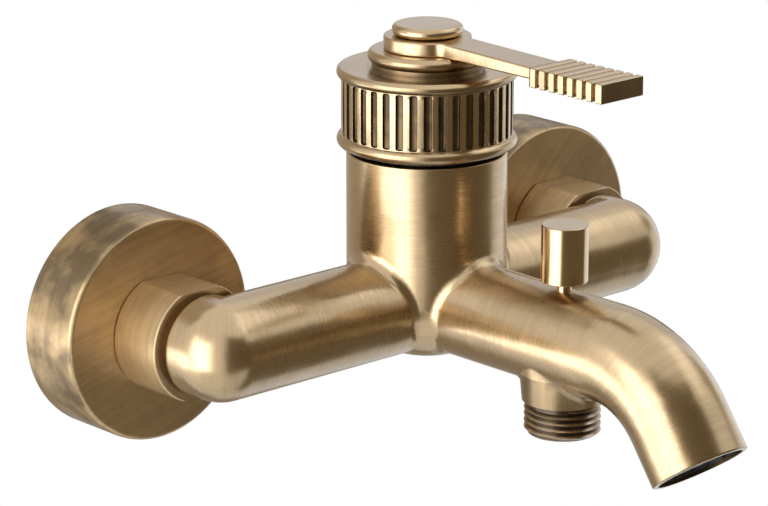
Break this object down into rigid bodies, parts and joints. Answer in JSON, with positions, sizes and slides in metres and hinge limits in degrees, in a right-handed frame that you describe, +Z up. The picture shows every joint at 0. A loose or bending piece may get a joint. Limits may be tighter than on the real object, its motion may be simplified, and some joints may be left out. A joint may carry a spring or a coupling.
{
  "type": "wall bath mixer",
  "caption": "Wall-mounted single-lever bath mixer with a cast spout, a pull-up diverter and a hose outlet, fed by two eccentric wall unions.",
  "frame": {"origin": "on the wall plane, midway between the two inlets, at the height of the crossbar", "axes": "+X along the wall to the right, +Y into the wall, +Z up"},
  "size_m": [0.2122, 0.1742, 0.1096],
  "materials": {
    "brushed_antique_brass": "brushed and lacquered antique brass",
    "plain_brass": "turned brass",
    "spring_steel": "plain steel",
    "black_rubber": "matt rubber",
    "white_plastic": "moulded",
    "black_plastic": "moulded",
    "ceramic": null
  },
  "bodies": {
    "mixer": {"mixer_body": "brushed_antique_brass", "left_escutcheon": "brushed_antique_brass", "left_s_union": "plain_brass", "left_union_nut": "brushed_antique_brass", "left_retaining_ring": "spring_steel", "left_seal_washer": "black_rubber", "right_escutcheon": "brushed_antique_brass", "right_s_union": "plain_brass", "right_union_nut": "brushed_antique_brass", "right_retaining_ring": "spring_steel", "right_seal_washer": "black_rubber", "cartridge_base": "white_plastic", "cartridge_seals": "black_rubber", "fixed_ceramic_disc": "ceramic", "cartridge_housing": "white_plastic", "cartridge_nut": "plain_brass", "hose_outlet": "plain_brass", "hose_outlet_seal": "black_rubber", "check_valve": "white_plastic", "diverter_stem_seal": "black_rubber", "aerator_ring": "black_plastic", "aerator_insert": "black_plastic", "aerator_seal": "black_rubber"},
    "carrier": {"spindle_carrier": "white_plastic", "spindle_pin": "spring_steel"},
    "disc": {"moving_ceramic_disc": "ceramic", "disc_slider": "white_plastic"},
    "handle": {"spindle": "plain_brass", "fluted_sleeve": "brushed_antique_brass", "step_ring": "brushed_antique_brass", "collar_disc": "brushed_antique_brass", "lever": "brushed_antique_brass", "lever_cap": "brushed_antique_brass", "handle_screw": "spring_steel"},
    "diverter": {"diverter_knob": "brushed_antique_brass", "diverter_stem": "plain_brass", "diverter_valve": "plain_brass", "diverter_washers": "black_rubber"}
  },
  "joints": [
    {"name": "handle_turn", "type": "hinge", "parent": "mixer", "child": "carrier", "pos_m": [0, -0.0447, 0.032], "axis": [0, 0, 1], "range_deg": [-50, 50]},
    {"name": "handle_lift", "type": "hinge", "parent": "carrier", "child": "handle", "pos_m": [0, -0.0447, 0.032], "axis": [-1, 0, 0], "range_deg": [0, 25]},
    {"name": "disc_slide", "type": "slide", "parent": "carrier", "child": "disc", "axis": [0, -1, 0], "range_m": [0, 0.0027]},
    {"name": "diverter_pull", "type": "slide", "parent": "mixer", "child": "diverter", "axis": [0, 0, 1], "range_m": [0, 0.008]}
  ],
  "couplings": [
    {"joint": "disc_slide", "follows": "handle_lift", "m_per_rad": 0.0054}
  ]
}
